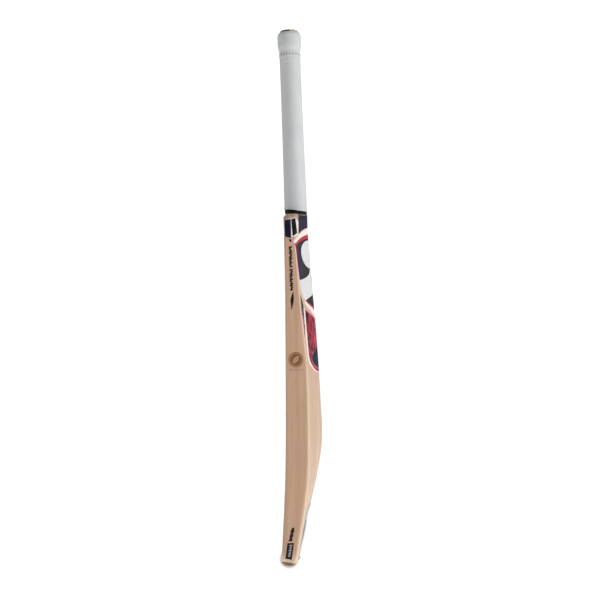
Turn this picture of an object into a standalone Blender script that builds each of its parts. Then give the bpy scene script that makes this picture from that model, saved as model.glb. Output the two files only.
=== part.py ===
"""A cricket bat: a willow blade, a laminated cane handle spliced into it, rubber springs, twine,
a rubber grip and printed labels, each as its own solid.

Units are metres. +Z runs up the bat from the toe, the striking face looks along -Y, the spine of the
back looks along +Y, and the origin is the middle of the bottom of the bat's bounding box.
"""

import math

import bmesh
import bpy
from mathutils import Matrix, Vector

# Fits between touching pieces
GLUE_GAP = 0.0003
SLEEVE_GAP = 0.0003

# Blade
BLADE_TOP = 0.5596
HALF_WIDTH = 0.054
SHOULDER_START = 0.515
SHOULDER_NECK = 0.0192
TOE_CORNER_HEIGHT = 0.024
TOE_CORNER_WIDTH = 0.010
TOE_RISE = 0.0070
TOE_ROUNDING = 0.0028
SHOULDER_DROP = 0.0060
SHOULDER_DROP_START = -0.0170
FACE_CAMBER = 0.0010
FACE_CORNER = 0.0030
SHOULDER_CORNER = 0.0070
BACK_CORNER = 0.0045
SWELL_BACK_CORNER = 0.0085
SWELL_HEIGHT = 0.195
RIDGE_ROUNDING = 0.12
FLANK_HOLLOW = 1.25

# Blade stations: height, then Y of the face, of the edge's back corner and of the spine
STATIONS = (
    (0.000, -0.0298, -0.0062, 0.0008),
    (0.045, -0.0278, 0.0002, 0.0100),
    (0.090, -0.0255, 0.0080, 0.0180),
    (0.140, -0.0238, 0.0134, 0.0288),
    (0.195, -0.0231, 0.0145, 0.0363),
    (0.260, -0.0230, 0.0122, 0.0338),
    (0.325, -0.0232, 0.0088, 0.0296),
    (0.390, -0.0237, 0.0025, 0.0246),
    (0.455, -0.0242, -0.0027, 0.0186),
    (0.520, -0.0256, -0.0065, 0.0134),
    (0.560, -0.0270, -0.0074, 0.0118),
)
FACE, EDGE, SPINE = 1, 2, 3

# Splice: the V that joins the handle to the blade
SPLICE_TIP = 0.425
SPLICE_TIP_HALF = 0.0025
SPLICE_TOP_HALF = 0.0160
STRIP_HALF = 0.0060
SLAB_PITCH = 0.0066
SPRING_THICKNESS = 0.0012

# Handle, in its own frame: local +Z runs up the leaning axis from the foot
HANDLE_FOOT = Vector((0.0, -0.0064, 0.560))
HANDLE_LEAN = math.radians(2.18)
HANDLE_LENGTH = 0.2977
STEM_FOOT_RADIUS = 0.0156
STEM_TOP_RADIUS = 0.0142
STEM_CHAMFER = 0.0008
TWINE_THICKNESS = 0.0008
TWINE_START = 0.0090
TWINE_END = 0.2925
GRIP_START = 0.0054
GRIP_END = 0.2946
WHIPPING_START = 0.0007
WHIPPING_END = 0.0050

# Outside of the grip: height above the handle's foot and radius, from the hem to the rim
GRIP_OUTSIDE = (
    (0.0054, 0.0182),
    (0.0060, 0.0187),
    (0.0086, 0.0188),
    (0.0104, 0.0184),
    (0.0300, 0.0182),
    (0.1000, 0.0175),
    (0.1800, 0.0170),
    (0.2500, 0.0168),
    (0.2550, 0.0171),
    (0.2575, 0.0177),
    (0.2600, 0.0172),
    (0.2630, 0.0171),
    (0.2665, 0.0177),
    (0.2700, 0.0190),
    (0.2740, 0.0192),
    (0.2890, 0.0190),
    (0.2918, 0.0182),
    (0.2938, 0.0171),
    (0.2946, 0.0162),
)

# Whipping: the thread's outside, and how far its top and bottom are rounded off
WHIPPING_RADIUS = 0.0182
WHIPPING_TOP_RADIUS = 0.0180
WHIPPING_ROUNDING = 0.0006

# Labels
LABEL_GAP = 0.0003
LABEL_THICKNESS = 0.00035

# Heights of the blade's full sections, close together where its outline curves quickly
TOE_SECTIONS = (0.0032, 0.007, 0.012, 0.018, 0.025, 0.036, 0.050)
SWELL_SECTIONS = tuple(0.065 + 0.015 * i for i in range(12))
UPPER_SECTIONS = tuple(0.255 + 0.030 * i for i in range(9))
SHOULDER_RISES = (0, 0.006, 0.012, 0.0165, 0.021, 0.025, 0.029, 0.0325, 0.0355, 0.038, 0.040, 0.042)

# Points round a turned piece
TURN = 32


# ---------------------------------------------------------------- blade form


def smooth_value(column, height):
    """One column of the stations at a height, on a smooth curve through them."""
    heights = [row[0] for row in STATIONS]
    values = [row[column] for row in STATIONS]
    height = min(max(height, heights[0]), heights[-1])
    low = max(i for i in range(len(heights) - 1) if heights[i] <= height)
    high = low + 1
    before = max(low - 1, 0)
    after = min(high + 1, len(heights) - 1)
    span = heights[high] - heights[low]
    start_slope = (values[high] - values[before]) / (heights[high] - heights[before])
    end_slope = (values[after] - values[low]) / (heights[after] - heights[low])
    t = (height - heights[low]) / span
    return (
        (2 * t**3 - 3 * t**2 + 1) * values[low]
        + (t**3 - 2 * t**2 + t) * span * start_slope
        + (3 * t**2 - 2 * t**3) * values[high]
        + (t**3 - t**2) * span * end_slope
    )


def half_width(height):
    """Half the blade's width: rounded in at the toe's corners and over the shoulders."""
    if height < TOE_CORNER_HEIGHT:
        drop = 1 - max(height, 0) / TOE_CORNER_HEIGHT
        return HALF_WIDTH - TOE_CORNER_WIDTH * (1 - math.sqrt(1 - drop**2))
    if height > SHOULDER_START:
        rise = min((height - SHOULDER_START) / (BLADE_TOP - SHOULDER_START), 1)
        return SHOULDER_NECK + (HALF_WIDTH - SHOULDER_NECK) * math.sqrt(1 - rise**2)
    return HALF_WIDTH


def face_y(x, height, inset=0.0):
    share = x / half_width(height)
    return smooth_value(FACE, height) + inset + FACE_CAMBER * share**2


def back_y(x, height, inset=0.0):
    """Y of the back at x: a rounded ridge in the middle and hollowed flanks out to the edges."""
    share = min(abs(x) / half_width(height), 1)
    far = math.hypot(1, RIDGE_ROUNDING)
    rise = (far - math.hypot(share, RIDGE_ROUNDING)) / (far - RIDGE_ROUNDING)
    edge = smooth_value(EDGE, height) - inset
    spine = smooth_value(SPINE, height) - inset
    return edge + (spine - edge) * max(rise, 0) ** FLANK_HOLLOW


def corner_sizes(height):
    """Rounding of the edge's corner with the face and of its corner with the back."""
    shoulder = min(max((height - SHOULDER_START) / (BLADE_TOP - SHOULDER_START), 0), 1)
    front = FACE_CORNER + (SHOULDER_CORNER - FACE_CORNER) * shoulder
    swell = math.exp(-(((height - SWELL_HEIGHT) / 0.12) ** 2))
    back = BACK_CORNER + (SWELL_BACK_CORNER - BACK_CORNER) * swell
    return front, back


def rounded(start, corner, end, count):
    """Points inside a rounded corner, from start to end, both left out."""
    points = []
    for i in range(1, count + 1):
        t = i / (count + 1)
        points.append(start * (1 - t) ** 2 + corner * 2 * t * (1 - t) + end * t**2)
    return points


def half_section(height, inset=0.0, face_steps=5, corner_steps=2, flank_steps=6):
    """The section's +X half as points (x, y), from the middle of the face to the spine."""
    width = half_width(height) - inset
    front, back = corner_sizes(height)
    flat = width - front
    points = []
    for i in range(face_steps + 1):
        x = flat * i / face_steps
        points.append(Vector((x, face_y(x, height, inset))))
    edge_front = Vector((width, face_y(width, height, inset)))
    edge_back = Vector((width, smooth_value(EDGE, height) - inset))
    edge_start = edge_front + Vector((0, front))
    edge_end = edge_back - Vector((0, back))
    points += rounded(points[-1], edge_front, edge_start, corner_steps)
    points += [edge_start, edge_end]
    flank_width = width - back
    flank_start = Vector((flank_width, back_y(flank_width, height, inset)))
    points += rounded(edge_end, edge_back, flank_start, corner_steps)
    for i in range(flank_steps + 1):
        x = flank_width * (1 - i / flank_steps) ** 1.2
        points.append(Vector((x, back_y(x, height, inset))))
    return points


def section_height(height, y):
    """Height of a section's point: the toe's underside and the shoulders' top both slope in to the face."""
    face = smooth_value(FACE, height)
    if height < TOE_CORNER_HEIGHT:
        spine = smooth_value(SPINE, height)
        share = (spine - TOE_ROUNDING - y) / (spine - face)
        return height + TOE_RISE * share * (1 - height / TOE_CORNER_HEIGHT)
    rise = min(max((height - SHOULDER_START) / (BLADE_TOP - SHOULDER_START), 0), 1)
    share = min(max((SHOULDER_DROP_START - y) / (SHOULDER_DROP_START - face), 0), 1)
    return height - SHOULDER_DROP * rise**3 * share**2


def blade_ring(height, inset):
    half = half_section(height, inset)
    mirrored = [Vector((-p.x, p.y)) for p in reversed(half[1:-1])]
    return [Vector((p.x, p.y, section_height(height, p.y))) for p in half + mirrored]


def section_heights():
    shoulder = [SHOULDER_START + rise for rise in SHOULDER_RISES]
    return [*TOE_SECTIONS, *SWELL_SECTIONS, *UPPER_SECTIONS, *shoulder]


def heights_between(low, high):
    """The low and the high end, and the blade's own section heights between them."""
    return [low] + [h for h in section_heights() if low + 0.001 < h < high - 0.001] + [high]


def blade_rings():
    """Heights and insets of the blade's rings, with its two ends rounded over."""
    toe = [(0.0, TOE_ROUNDING), (0.0012, 0.0010)]
    crown = [(SHOULDER_START + 0.0436, 0.0003), (BLADE_TOP, 0.0012)]
    return toe + [(height, 0.0) for height in section_heights()] + crown


# ---------------------------------------------------------------- mesh helpers


def make_object(name, mesh_data, material, parent=None):
    """A new object from a bmesh, with its faces turned outwards, its material and its parent."""
    bmesh.ops.recalc_face_normals(mesh_data, faces=mesh_data.faces)
    mesh = bpy.data.meshes.new(name)
    mesh_data.to_mesh(mesh)
    mesh_data.free()
    mesh.materials.append(material)
    mesh.shade_smooth()
    mesh.set_sharp_from_angle(angle=math.radians(35))
    made = bpy.data.objects.new(name, mesh)
    bpy.context.scene.collection.objects.link(made)
    made.parent = parent
    return made


def loft(rings, closed=False):
    """A bmesh through rings of equal length, with its ends capped unless it closes on itself."""
    mesh_data = bmesh.new()
    rows = [[mesh_data.verts.new(point) for point in ring] for ring in rings]
    pairs = list(zip(rows, rows[1:]))
    if closed:
        pairs.append((rows[-1], rows[0]))
    for lower, upper in pairs:
        count = len(lower)
        for i in range(count):
            j = (i + 1) % count
            mesh_data.faces.new((lower[i], lower[j], upper[j], upper[i]))
    if not closed:
        mesh_data.faces.new(rows[0])
        mesh_data.faces.new(rows[-1])
    return mesh_data


def turned(name, profile, material, parent):
    """A ring-shaped solid: a closed profile of (radius, height) turned about the local Z axis."""
    rings = []
    for radius, height in profile:
        ring = []
        for i in range(TURN):
            angle = 2 * math.pi * i / TURN
            ring.append(Vector((radius * math.cos(angle), radius * math.sin(angle), height)))
        rings.append(ring)
    return make_object(name, loft(rings, closed=True), material, parent)


def boolean(target, cutter, operation):
    modifier = target.modifiers.new(operation.title() + "_" + cutter.name, "BOOLEAN")
    modifier.operation = operation
    modifier.solver = "EXACT"
    modifier.object = cutter


def helper(thing):
    """Keeps a cutter or a former out of the model."""
    thing.hide_render = True
    thing.display_type = "WIRE"
    return thing


def box(name, low, high, parent=None):
    mesh_data = bmesh.new()
    middle = (Vector(low) + Vector(high)) / 2
    size = Vector(high) - Vector(low)
    shape = Matrix.Translation(middle) @ Matrix.Diagonal((*size, 1))
    bmesh.ops.create_cube(mesh_data, size=1.0, matrix=shape)
    return helper(make_object(name, mesh_data, MATERIALS["helper"], parent))


# ---------------------------------------------------------------- materials


def make_material(name, colour, roughness, metallic=0.0):
    material = bpy.data.materials.new(name)
    material.use_nodes = True
    shader = material.node_tree.nodes["Principled BSDF"]
    shader.inputs["Base Color"].default_value = (*colour, 1)
    shader.inputs["Roughness"].default_value = roughness
    shader.inputs["Metallic"].default_value = metallic
    material.diffuse_color = (*colour, 1)
    return material


def make_materials():
    return {
        "helper": make_material("helper", (0.5, 0.5, 0.5), 0.5),
        "willow": make_material("willow", (0.76, 0.58, 0.40), 0.45),
        "cane": make_material("cane", (0.66, 0.48, 0.28), 0.55),
        "spring": make_material("spring_rubber", (0.05, 0.045, 0.04), 0.80),
        "twine": make_material("waxed_twine", (0.55, 0.44, 0.28), 0.70),
        "whipping": make_material("black_whipping", (0.02, 0.02, 0.022), 0.60),
        "grip": make_material("grip_rubber", (0.74, 0.74, 0.73), 0.62),
        "navy": make_material("navy_label", (0.035, 0.035, 0.075), 0.30),
        "shield": make_material("shield_label", (0.06, 0.055, 0.075), 0.30),
        "crimson": make_material("crimson_label", (0.55, 0.03, 0.06), 0.30),
        "violet": make_material("violet_label", (0.24, 0.20, 0.32), 0.30),
        "silver": make_material("silver_label", (0.55, 0.54, 0.60), 0.30),
        "black": make_material("black_label", (0.02, 0.02, 0.03), 0.30),
    }


# ---------------------------------------------------------------- blade and splice


def splice_half(height):
    """Half-width of the splice's V at a height, the same straight taper above its top."""
    share = (height - SPLICE_TIP) / (BLADE_TOP - SPLICE_TIP)
    return SPLICE_TIP_HALF + (SPLICE_TOP_HALF - SPLICE_TIP_HALF) * share


def make_blade():
    rings = [blade_ring(height, inset) for height, inset in blade_rings()]
    blade = make_object("blade", loft(rings), MATERIALS["willow"])
    foot = SPLICE_TIP - GLUE_GAP
    crown = BLADE_TOP + 0.010
    corners = (
        (-splice_half(foot) - GLUE_GAP, foot),
        (splice_half(foot) + GLUE_GAP, foot),
        (splice_half(crown) + GLUE_GAP, crown),
        (-splice_half(crown) - GLUE_GAP, crown),
    )
    sides = [[Vector((x, y, z)) for x, z in corners] for y in (-0.06, 0.06)]
    slot = helper(make_object("splice_slot", loft(sides), MATERIALS["helper"]))
    boolean(blade, slot, "DIFFERENCE")
    return blade


def planed_back(x, height, inset):
    """Y of the blade's back at x, read on the facets between its section's points."""
    flank = half_section(height, inset)[-7:]
    for outer, inner in zip(flank, flank[1:]):
        if inner.x <= abs(x):
            share = (abs(x) - inner.x) / (outer.x - inner.x)
            return inner.y + (outer.y - inner.y) * share
    return flank[-1].y


def wedge_ring(height, inset):
    """A section of the handle's wedge: flush with the face and back, and as wide as the splice."""
    half = splice_half(height)
    places = [half * i / 3 for i in range(-3, 4)]
    front = [Vector((x, face_y(x, height, inset))) for x in places]
    back = [Vector((x, planed_back(x, height, inset))) for x in reversed(places)]
    right = [front[-1].lerp(back[0], i / 6) for i in range(1, 6)]
    left = [back[-1].lerp(front[0], i / 6) for i in range(1, 6)]
    ring = []
    for point in front + right + back + left:
        settled = section_height(height, point.y)
        ring.append(Vector((point.x * splice_half(settled) / half, point.y, settled)))
    return ring


def stem_ring(radius, height):
    """A round section of the stem, square to the leaning axis, in step with the wedge's rings."""
    ring = []
    for i in range(24):
        angle = math.radians(-135 + 15 * i)
        ring.append(Vector((radius * math.cos(angle), radius * math.sin(angle), height)))
    return [HANDLE_FRAME @ point for point in ring]


def make_handle_former():
    """The whole outside of the cane handle, wedge and stem together, which the strips are cut from."""
    full = heights_between(SPLICE_TIP, SHOULDER_START + 0.042)
    rings = [wedge_ring(height, 0.0) for height in full]
    rings.append(wedge_ring(BLADE_TOP - 0.0004, 0.0012))
    rings.append(stem_ring(STEM_FOOT_RADIUS, 0.0006))
    rings.append(stem_ring(STEM_FOOT_RADIUS, 0.010))
    rings.append(stem_ring(STEM_TOP_RADIUS, 0.240))
    rings.append(stem_ring(STEM_TOP_RADIUS, HANDLE_LENGTH - STEM_CHAMFER))
    rings.append(stem_ring(STEM_TOP_RADIUS - STEM_CHAMFER, HANDLE_LENGTH))
    return helper(make_object("handle_former", loft(rings), MATERIALS["helper"]))


def former_piece(name, former, low, high, material):
    """The part of the handle former inside a box in the handle's own frame."""
    cutter = box(name + "_cutter", low, high, HANDLE_EMPTY)
    piece = bpy.data.objects.new(name, former.data.copy())
    piece.data.materials.clear()
    piece.data.materials.append(material)
    bpy.context.scene.collection.objects.link(piece)
    boolean(piece, cutter, "INTERSECT")
    return piece


def make_cane_and_springs(former):
    """Four slabs of cane, each of three strips, with a rubber spring between each slab and the next."""
    reach = 0.04
    low_z = SPLICE_TIP - HANDLE_FOOT.z - 0.02
    high_z = HANDLE_LENGTH + 0.02
    bare = SPRING_THICKNESS / 2 + GLUE_GAP
    slabs = (
        (-reach, -SLAB_PITCH - bare),
        (-SLAB_PITCH + bare, -bare),
        (bare, SLAB_PITCH - bare),
        (SLAB_PITCH + bare, reach),
    )
    gap = GLUE_GAP / 2
    columns = (
        (-reach, -STRIP_HALF - gap),
        (-STRIP_HALF + gap, STRIP_HALF - gap),
        (STRIP_HALF + gap, reach),
    )
    number = 0
    for near_y, far_y in slabs:
        for near_x, far_x in columns:
            number += 1
            low = (near_x, near_y, low_z)
            high = (far_x, far_y, high_z)
            former_piece(f"cane_strip_{number:02d}", former, low, high, MATERIALS["cane"])
    for i, middle in enumerate((-SLAB_PITCH, 0.0, SLAB_PITCH)):
        low = (-reach, middle - SPRING_THICKNESS / 2, low_z)
        high = (reach, middle + SPRING_THICKNESS / 2, high_z)
        former_piece(f"rubber_spring_{i + 1}", former, low, high, MATERIALS["spring"])


# ---------------------------------------------------------------- handle sleeves


def stem_radius(height):
    """Radius of the cane at a height above the handle's foot."""
    share = min(max((height - 0.010) / 0.230, 0), 1)
    return STEM_FOOT_RADIUS + (STEM_TOP_RADIUS - STEM_FOOT_RADIUS) * share


def make_twine():
    inner = [(stem_radius(h) + SLEEVE_GAP, h) for h in (TWINE_START, 0.240, TWINE_END)]
    outer = [(radius + TWINE_THICKNESS, height) for radius, height in reversed(inner)]
    return turned("twine_binding", inner + outer, MATERIALS["twine"], HANDLE_EMPTY)


def make_whipping():
    inner = STEM_FOOT_RADIUS + SLEEVE_GAP
    profile = (
        (inner, WHIPPING_START),
        (inner, WHIPPING_END),
        (WHIPPING_TOP_RADIUS - WHIPPING_ROUNDING, WHIPPING_END),
        (WHIPPING_TOP_RADIUS, WHIPPING_END - WHIPPING_ROUNDING),
        (WHIPPING_RADIUS, WHIPPING_START + WHIPPING_ROUNDING),
        (WHIPPING_RADIUS - WHIPPING_ROUNDING, WHIPPING_START),
    )
    return turned("shoulder_whipping", profile, MATERIALS["whipping"], HANDLE_EMPTY)


def grip_bore(height):
    """Radius of the grip's bore: a close fit on the twine all the way up."""
    return stem_radius(height) + TWINE_THICKNESS + 2 * SLEEVE_GAP


def make_grip():
    outside = [(radius, height) for height, radius in GRIP_OUTSIDE]
    heights = (GRIP_END - 0.0006, 0.240, 0.100, GRIP_START + 0.0004)
    bore = [(grip_bore(height), height) for height in heights]
    return turned("grip", outside + bore, MATERIALS["grip"], HANDLE_EMPTY)


# ---------------------------------------------------------------- labels


def skin_path(height):
    """The section's skin as (distance from the spine, point, outward normal), out round the edge."""
    points = list(reversed(half_section(height, 0.0, 5, 4, 12)))
    path = []
    distance = 0.0
    for i, point in enumerate(points):
        before = points[max(i - 1, 0)]
        after = points[min(i + 1, len(points) - 1)]
        along = (after - before).normalized()
        if i == 0:
            along = Vector((1, 0))
        distance += (point - before).length
        path.append((distance, point, Vector((-along.y, along.x))))
    return path


def skin_point(height, distance, lift):
    """A point lifted off the blade's skin, at a signed distance from the spine round the section."""
    path = skin_path(height)
    reach = min(abs(distance), path[-1][0])
    index = max(i for i in range(len(path) - 1) if path[i][0] <= reach)
    start, point_a, normal_a = path[index]
    end, point_b, normal_b = path[index + 1]
    share = (reach - start) / (end - start)
    point = point_a.lerp(point_b, share) + normal_a.lerp(normal_b, share).normalized() * lift
    side = -1 if distance < 0 else 1
    return Vector((side * point.x, point.y, section_height(height, point.y)))


def face_point(height, distance, lift):
    return Vector((distance, face_y(distance, height) - lift, height))


def corner_distance(height):
    """Distance round the section from the spine to the middle of the edge's back corner."""
    flank_points = 12
    corner_points = 4
    return skin_path(height)[flank_points + corner_points // 2][0]


def across(half, count):
    """Distances from -half to half, closest together over the spine's ridge."""
    steps = [half * (i / count) ** 1.2 for i in range(count + 1)]
    return [-step for step in reversed(steps[1:])] + steps


def evenly(first, last, count):
    return [first + (last - first) * i / count for i in range(count + 1)]


def quads(rows):
    """Corner quadruples of a grid of vertices."""
    for lower, upper in zip(rows, rows[1:]):
        for i in range(len(lower) - 1):
            yield lower[i], lower[i + 1], upper[i + 1], upper[i]


def label(name, rows, place, material):
    """A thin printed label on the blade, through rows of (height, distances across)."""
    mesh_data = bmesh.new()
    layers = []
    for lift in (LABEL_GAP, LABEL_GAP + LABEL_THICKNESS):
        points = [[place(height, step, lift) for step in steps] for height, steps in rows]
        layers.append([[mesh_data.verts.new(point) for point in row] for row in points])
    inner, outer = layers
    rims = [[inner[0], outer[0]], [inner[-1], outer[-1]]]
    for column in (0, -1):
        rims.append([[row[column] for row in inner], [row[column] for row in outer]])
    for grid in (inner, outer, *rims):
        for corners in quads(grid):
            mesh_data.faces.new(corners)
    return make_object(name, mesh_data, MATERIALS[material])


def back_label(name, heights, half, columns, material):
    """A label over the spine. half(height) is half its width, measured round the section."""
    rows = [(height, across(half(height), columns)) for height in heights]
    label(name, rows, skin_point, material)


def shoulder_label_half(height):
    covered = 0.71
    return covered * half_width(height)


def shield_label_half(height):
    """The main label: a shield with an arched top, that comes to a point on the spine below."""
    point_height, point_half = 0.408, 0.006
    body_height = 0.445
    arch_height, arch_rise = 0.515, 0.0132
    inset = 0.003
    half = corner_distance(height) - inset
    if height < body_height:
        share = (height - point_height) / (body_height - point_height)
        return point_half + (half - point_half) * share
    if height > arch_height:
        return half * math.sqrt(1 - ((height - arch_height) / arch_rise) ** 2)
    return half


def lower_label_half(height):
    """The label below the shield: a round-bottomed panel with its top corners cut off."""
    half = 0.033
    bottom, bottom_rise = 0.3010, 0.033
    cut_height, cut_rise = 0.390, 0.020
    share = 1 - min((height - bottom) / bottom_rise, 1)
    top_cut = max((height - cut_height) / cut_rise, 0)
    return half * math.sqrt(1 - share**2) * (1 - top_cut)


def toe_label_half(height):
    """The arched label above the toe."""
    half = 0.031
    arch_height, arch_rise = 0.057, 0.029
    share = max((height - arch_height) / arch_rise, 0)
    return half * math.sqrt(1 - share**2)


def side_label(name, heights, side, middle, half, columns, material):
    """A label beside the spine. middle(height) and half(height) are measured round the section."""
    rows = []
    for height in heights:
        near = side * (middle(height) - half(height))
        far = side * (middle(height) + half(height))
        rows.append((height, evenly(near, far, columns)))
    label(name, rows, skin_point, material)


def stripe_middle(height):
    """The slim stripe leans away from the back's edge as it goes down."""
    top, inset, lean = 0.431, 0.0075, 0.060
    return corner_distance(height) - inset - lean * (top - height)


def stripe_half(height):
    start, length = 0.360, 0.084
    return 0.0010 + 0.0035 * math.sin(math.pi * (height - start) / length)


def strip_middle(height):
    """The long strip on the edge, which leans forward as it goes down."""
    top, inset, lean = 0.516, 0.0095, 0.036
    return corner_distance(height) + inset + lean * (top - height)


def make_side_labels(side, word):
    """The labels that come in pairs: the back's stripe and the edge's three stickers."""
    stripe = heights_between(0.372, 0.431)
    side_label(f"back_stripe_{word}", stripe, side, stripe_middle, stripe_half, 2, "violet")
    edge_labels = (
        ("shoulder", 0.521, 0.5475, lambda height: corner_distance(height) + 0.00825, 0.00775, 6, "black"),
        ("strip", 0.405, 0.516, strip_middle, 0.0042, 2, "navy"),
        ("toe", 0.012, 0.062, lambda height: corner_distance(height) + 0.0146, 0.0046, 2, "black"),
    )
    for place, low, high, middle, half, columns, material in edge_labels:
        name = f"edge_{place}_label_{word}"
        heights = heights_between(low, high)
        side_label(name, heights, side, middle, lambda height, half=half: half, columns, material)


def make_face_label():
    """The long rounded sticker on the striking face."""
    middle, half_height, half_across = 0.482, 0.050, 0.030
    rows = []
    for height in evenly(middle - 0.95 * half_height, middle + 0.95 * half_height, 10):
        share = abs(height - middle) / half_height
        half = half_across * math.sqrt(1 - share**2.5)
        rows.append((height, evenly(-half, half, 6)))
    label("face_label", rows, face_point, "crimson")


def make_labels():
    shield_heights = [0.408, *evenly(0.420, 0.495, 5), 0.515, 0.521, 0.525, 0.527]
    lower_heights = [0.302, 0.306, *evenly(0.315, 0.390, 5), 0.398, 0.403]
    back_label("back_shoulder_label", heights_between(0.5330, 0.5575), shoulder_label_half, 4, "navy")
    back_label("back_shield_label", shield_heights, shield_label_half, 6, "shield")
    back_label("back_lower_label", lower_heights, lower_label_half, 4, "crimson")
    back_label("back_toe_label", heights_between(0.008, 0.084), toe_label_half, 4, "silver")
    for side, word in ((1, "right"), (-1, "left")):
        make_side_labels(side, word)
    make_face_label()


# ---------------------------------------------------------------- the whole bat


def clear_scene():
    for thing in list(bpy.data.objects):
        bpy.data.objects.remove(thing, do_unlink=True)


def make_handle_empty():
    empty = bpy.data.objects.new("handle_axis", None)
    empty.location = HANDLE_FOOT
    empty.rotation_euler = (HANDLE_LEAN, 0, 0)
    bpy.context.scene.collection.objects.link(empty)
    return empty


clear_scene()
MATERIALS = make_materials()
HANDLE_FRAME = Matrix.Translation(HANDLE_FOOT) @ Matrix.Rotation(HANDLE_LEAN, 4, "X")
HANDLE_EMPTY = make_handle_empty()
make_blade()
make_cane_and_springs(make_handle_former())
make_twine()
make_whipping()
make_grip()
make_labels()
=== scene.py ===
import functools
import math

import bmesh
import bpy
import numpy as np
from mathutils import Matrix, Vector


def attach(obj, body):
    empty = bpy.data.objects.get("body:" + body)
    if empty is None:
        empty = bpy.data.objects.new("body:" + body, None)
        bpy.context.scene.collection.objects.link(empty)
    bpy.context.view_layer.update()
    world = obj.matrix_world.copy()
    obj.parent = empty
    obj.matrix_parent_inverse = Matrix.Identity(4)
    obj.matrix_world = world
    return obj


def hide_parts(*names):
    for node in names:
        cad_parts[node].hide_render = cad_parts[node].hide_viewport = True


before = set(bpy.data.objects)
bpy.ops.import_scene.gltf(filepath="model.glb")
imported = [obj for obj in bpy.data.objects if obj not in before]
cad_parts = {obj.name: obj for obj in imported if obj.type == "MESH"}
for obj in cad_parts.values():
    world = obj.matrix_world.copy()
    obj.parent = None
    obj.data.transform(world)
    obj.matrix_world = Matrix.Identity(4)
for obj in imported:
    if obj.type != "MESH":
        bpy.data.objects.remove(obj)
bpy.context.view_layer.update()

# ------------ the bat's own dimensions, in metres

BLADE_TOP = 0.5596
HALF_WIDTH = 0.054
SHOULDER_START = 0.515
SHOULDER_NECK = 0.0192
TOE_CORNER_HEIGHT = 0.024
TOE_CORNER_WIDTH = 0.0100
TOE_RISE = 0.0070
TOE_ROUNDING = 0.0028
SHOULDER_DROP = 0.0060
SHOULDER_DROP_START = -0.0170
CROWN_ROUNDING = 0.0012
FACE_CAMBER = 0.0010
FACE_CORNER = 0.0030
SHOULDER_CORNER = 0.0070
BACK_CORNER = 0.0045
SWELL_BACK_CORNER = 0.0085
SWELL_HEIGHT = 0.195
SWELL_REACH = 0.12
CORNER_BLEND = (0.095, 0.170)
EDGE_SHARE = (1.0, 0.55)
RIDGE_ROUNDING = 0.12
FLANK_HOLLOW = 1.25

# Blade stations: height, then Y of the face, of the edge's back corner and of the spine
STATIONS = np.array((
    (0.000, -0.0298, -0.0062, 0.0008),
    (0.045, -0.0278, 0.0002, 0.0100),
    (0.090, -0.0255, 0.0080, 0.0180),
    (0.140, -0.0238, 0.0134, 0.0288),
    (0.195, -0.0231, 0.0145, 0.0363),
    (0.260, -0.0230, 0.0134, 0.0338),
    (0.325, -0.0232, 0.0102, 0.0296),
    (0.390, -0.0237, 0.0034, 0.0246),
    (0.455, -0.0242, -0.0027, 0.0186),
    (0.520, -0.0256, -0.0065, 0.0134),
    (0.560, -0.0270, -0.0074, 0.0118),
))

# Splice and handle
GLUE_LINE = 0.00012
SPLICE_TIP = 0.425
SPLICE_TIP_HALF = 0.0025
SPLICE_TOP_HALF = 0.0160
STRIP_HALF = 0.0060
SLAB_PITCH = 0.0066
SPRING_THICKNESS = 0.0012
HANDLE_FOOT = Vector((0.0, -0.0064, 0.560))
HANDLE_LEAN = math.radians(2.18)
HANDLE_LENGTH = 0.2977
STEM_FOOT_RADIUS = 0.0156
STEM_TOP_RADIUS = 0.0142
STEM_TAPER_START = 0.010
STEM_TAPER_END = 0.240
STEM_CHAMFER = 0.0008
TWINE_THICKNESS = 0.0008
TWINE_START = 0.0090
TWINE_END = 0.2925
TWINE_PITCH = 0.0016
WHIPPING_RADIUS = 0.0179
WHIPPING_START = -0.0002
WHIPPING_END = 0.0082
THREAD_PITCH = 0.00078
SLEEVE_GAP = 0.0003

# Outside of the grip: height above the handle's foot and radius, from the hem to the rim
HEM_HEIGHT = 0.0054
HEM_SLANT = 0.0029
GRIP_OUTSIDE = (
    (0.0054, 0.0184), (0.0056, 0.0187), (0.0062, 0.0189), (0.0072, 0.0189), (0.0084, 0.0188),
    (0.0094, 0.0185), (0.0106, 0.0183), (0.0300, 0.0182), (0.1000, 0.0175), (0.1800, 0.0170),
    (0.2400, 0.0168), (0.2466, 0.0168), (0.2473, 0.0171), (0.2480, 0.0168), (0.2494, 0.0168),
    (0.2501, 0.0172), (0.2508, 0.0168), (0.2523, 0.0168), (0.2530, 0.0172), (0.2537, 0.0169),
    (0.2545, 0.0172), (0.2603, 0.0172), (0.2614, 0.0170), (0.2640, 0.0171), (0.2665, 0.0177),
    (0.2693, 0.0184), (0.2720, 0.0189), (0.2755, 0.0191), (0.2800, 0.0191), (0.2860, 0.0191),
    (0.2890, 0.0190), (0.2908, 0.0186), (0.2924, 0.0179), (0.2936, 0.0172), (0.2943, 0.0166),
    (0.2946, 0.0160),
)

# Raised lozenges round the grip
LOZENGE_COUNT = 20
LOZENGE_HEIGHT = 0.2574
LOZENGE_RADIUS = 0.01715
LOZENGE_HALF_WIDTH = 0.0020
LOZENGE_HALF_HEIGHT = 0.0025

HANDLE_FRAME = Matrix.Translation(HANDLE_FOOT) @ Matrix.Rotation(HANDLE_LEAN, 4, "X")

FLOOR_REACH = 30.0

# Painted contact shadow: an oval of the floor under the toe where its glow is turned down, and how far in
# front of the handle's line its middle lies
SHADE_HALF_LENGTH = 0.058
SHADE_HALF_WIDTH = 0.0140
SHADE_FORWARD = 0.0165

# Camera
VIEW_DISTANCE = 1.70
VIEW_MIDDLE = (0.00024, 0.4206)
VIEW_LENS = 62.7


# ------------ camera, floor and light


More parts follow.
